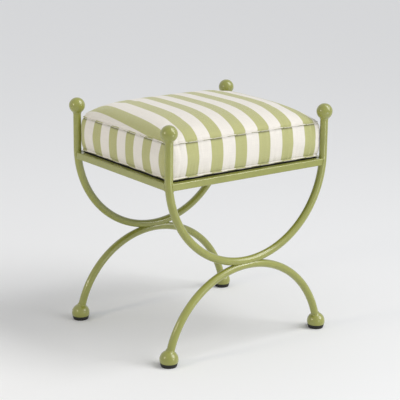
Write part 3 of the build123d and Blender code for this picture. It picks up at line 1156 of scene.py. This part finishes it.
staples = staple_row("cover_staples")
print("staples:", len(staples.data.polygons), "faces")

# %% [markdown]
# The studio is a wide pale floor under a soft sky. A curved backdrop could hide the horizon. Here
# eyes and reflections see a paler sky than the one that lights the stool, so that floor and
# backdrop meet without a line, and the light on the stool stays plain.

# %% Floor and sky
FLOOR_REACH = 14.0
FLOOR_GREY = shade(242, 243, 244)
FLOOR_CORNERS = ((-1, -1), (1, -1), (1, 1), (-1, 1))
SKY_COLOUR = shade(246, 247, 250)
SKY_STRENGTH = 0.52
BACKDROP_STRENGTH = 0.76

floor_finish = Finish(
    "studio_floor", {"Base Color": FLOOR_GREY, "Roughness": 0.9, "Specular IOR Level": 0.1}
)
floor = mesh_piece(
    "studio_floor",
    [(x * FLOOR_REACH, y * FLOOR_REACH, cad_low[2]) for x, y in FLOOR_CORNERS],
    [[0, 1, 2, 3]],
    None,
    floor_finish.material,
)

sky = bpy.data.worlds.new("soft_sky")
sky.use_nodes = True
sky_tree = Tree(sky.node_tree)
backdrop = sky.node_tree.nodes["Background"]
backdrop.inputs["Color"].default_value = SKY_COLOUR
seen = sky_tree.node("ShaderNodeLightPath", out="Is Camera Ray")
for kind in ("Is Glossy Ray", "Is Transmission Ray"):
    seen = seen + sky_tree.node("ShaderNodeLightPath", out=kind)
strength = SKY_STRENGTH + seen * (BACKDROP_STRENGTH - SKY_STRENGTH)
sky_tree.feed(backdrop.inputs["Strength"], strength)
bpy.context.scene.world = sky
print("floor:", 2 * FLOOR_REACH, "m wide")

# %% [markdown]
# A broad key light stands to the right of the camera, which leaves the side of the cushion that
# faces left a little darker and lays a soft shadow to the left of the feet. Large soft boxes would
# blur every highlight, so round cards stand for a studio's reflectors: one on each side puts a
# highlight on every finial, a low one draws a light band up the front post, a high one brightens the
# top of the cushion, and one looks down at the floor in front.

# %% Key light and cards
NEUTRAL = (1.0, 1.0, 1.0)
WARM = (1.0, 0.90, 0.74)
STOOL_MIDDLE = (0.0, 0.0, 0.3)
KEY_STRENGTH = 1.30
KEY_SPREAD = math.radians(36.0)
KEY_TINT = (1.0, 0.985, 0.96)
KEY_PLACE = (2.0, -2.3, 2.9)
# Each card: watts, width in metres, where it stands, what it faces, tint.
CARDS = {
    "low_card": (1.3, 0.36, (0.27, -1.28, 0.19), (-0.2, -0.17, 0.35), NEUTRAL),
    "right_card": (4.0, 0.38, (1.55, -2.15, 1.2), STOOL_MIDDLE, NEUTRAL),
    "left_card": (8.5, 0.42, (-2.2, 0.1, 1.1), STOOL_MIDDLE, WARM),
    "top_card": (11.0, 0.8, (0.9, -0.7, 2.6), (0.0, 0.0, 0.5), NEUTRAL),
    "floor_card": (1.0, 0.9, (0.3, -1.6, 1.3), (0.1, -1.2, 0.0), NEUTRAL),
}


def stand(name, light, place, aim):
    """Stand a light at a place and face it to its aim."""
    holder = bpy.data.objects.new(name, light)
    holder.location = place
    holder.rotation_euler = (Vector(aim) - Vector(place)).to_track_quat("-Z", "Y").to_euler()
    holder.visible_camera = False
    bpy.context.scene.collection.objects.link(holder)


key = bpy.data.lights.new("key_light", "SUN")
key.energy = KEY_STRENGTH
key.angle = KEY_SPREAD
key.color = KEY_TINT
stand("key_light", key, KEY_PLACE, STOOL_MIDDLE)
for name, (power, size, place, aim, tint) in CARDS.items():
    card = bpy.data.lights.new(name, "AREA")
    card.shape = "DISK"
    card.size = size
    card.energy = power
    card.color = tint
    stand(name, card, place, aim)
print("lights:", 1 + len(CARDS))

# %% [markdown]
# The camera has the photograph's own view: a little above the seat, to the left of the front, with
# a long lens. It could be set by eye, but its place and turn were solved from the finials and feet,
# so they are plain numbers here.

# %% Camera
CAMERA_AZIMUTH = math.radians(-36.8)
CAMERA_ELEVATION = math.radians(15.22)
CAMERA_ROLL = math.radians(0.71)
CAMERA_DISTANCE = 2.955
CAMERA_AIM = Vector((0.0, 0.0, 0.26))
CAMERA_SLIDE = (0.0025, 0.0259)
CAMERA_LENS = 120.4
SENSOR = 36.0


def camera_turn():
    """Right, up and back of the camera, as the columns of its rotation."""
    flat = math.cos(CAMERA_ELEVATION)
    towards = (math.sin(CAMERA_AZIMUTH) * flat, -math.cos(CAMERA_AZIMUTH) * flat)
    back = Vector((*towards, math.sin(CAMERA_ELEVATION)))
    level = Vector((math.cos(CAMERA_AZIMUTH), math.sin(CAMERA_AZIMUTH), 0.0))
    upright = back.cross(level)
    right = level * math.cos(CAMERA_ROLL) + upright * math.sin(CAMERA_ROLL)
    up = upright * math.cos(CAMERA_ROLL) - level * math.sin(CAMERA_ROLL)
    return right, up, back


right, up, back = camera_turn()
lens = bpy.data.cameras.new("photo_camera")
lens.lens = CAMERA_LENS
lens.sensor_width = SENSOR
camera = bpy.data.objects.new("photo_camera", lens)
camera_place = CAMERA_AIM + back * CAMERA_DISTANCE + right * CAMERA_SLIDE[0] + up * CAMERA_SLIDE[1]
turn = Matrix((right, up, back)).transposed().to_4x4()
camera.matrix_world = Matrix.Translation(camera_place) @ turn
bpy.context.scene.collection.objects.link(camera)
bpy.context.scene.camera = camera
bpy.context.scene.view_settings.view_transform = "Standard"
print("camera at", [round(value, 3) for value in camera_place])

# %% [markdown]
# Last, each new piece is tied to the frame, says which solids it stands for and which finish it
# takes, and the solids that it stands for are hidden.

# %% Tie the pieces to the frame
SEWN_AND_WELDED = [
    (cushion, "striped_cotton", ["top_panel", "boxing", "foam_slab", "crown_batting"]),
    (upper_welt, "striped_cotton", ["top_welt"]),
    (lower_welt, "striped_cotton", ["bottom_welt"]),
    (strip, "black_lining", ["pull_strip"]),
    (dust_sheet, "black_lining", ["dust_cover"]),
    (staples, "zinc_steel", []),
    (crossing_welds, "frame_paint", []),
    (corner_welds, "frame_paint", []),
]
for piece, finish, solids in SEWN_AND_WELDED:
    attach(piece, "root")
    if solids:
        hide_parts(*solids)
print("pieces tied:", len(SEWN_AND_WELDED))
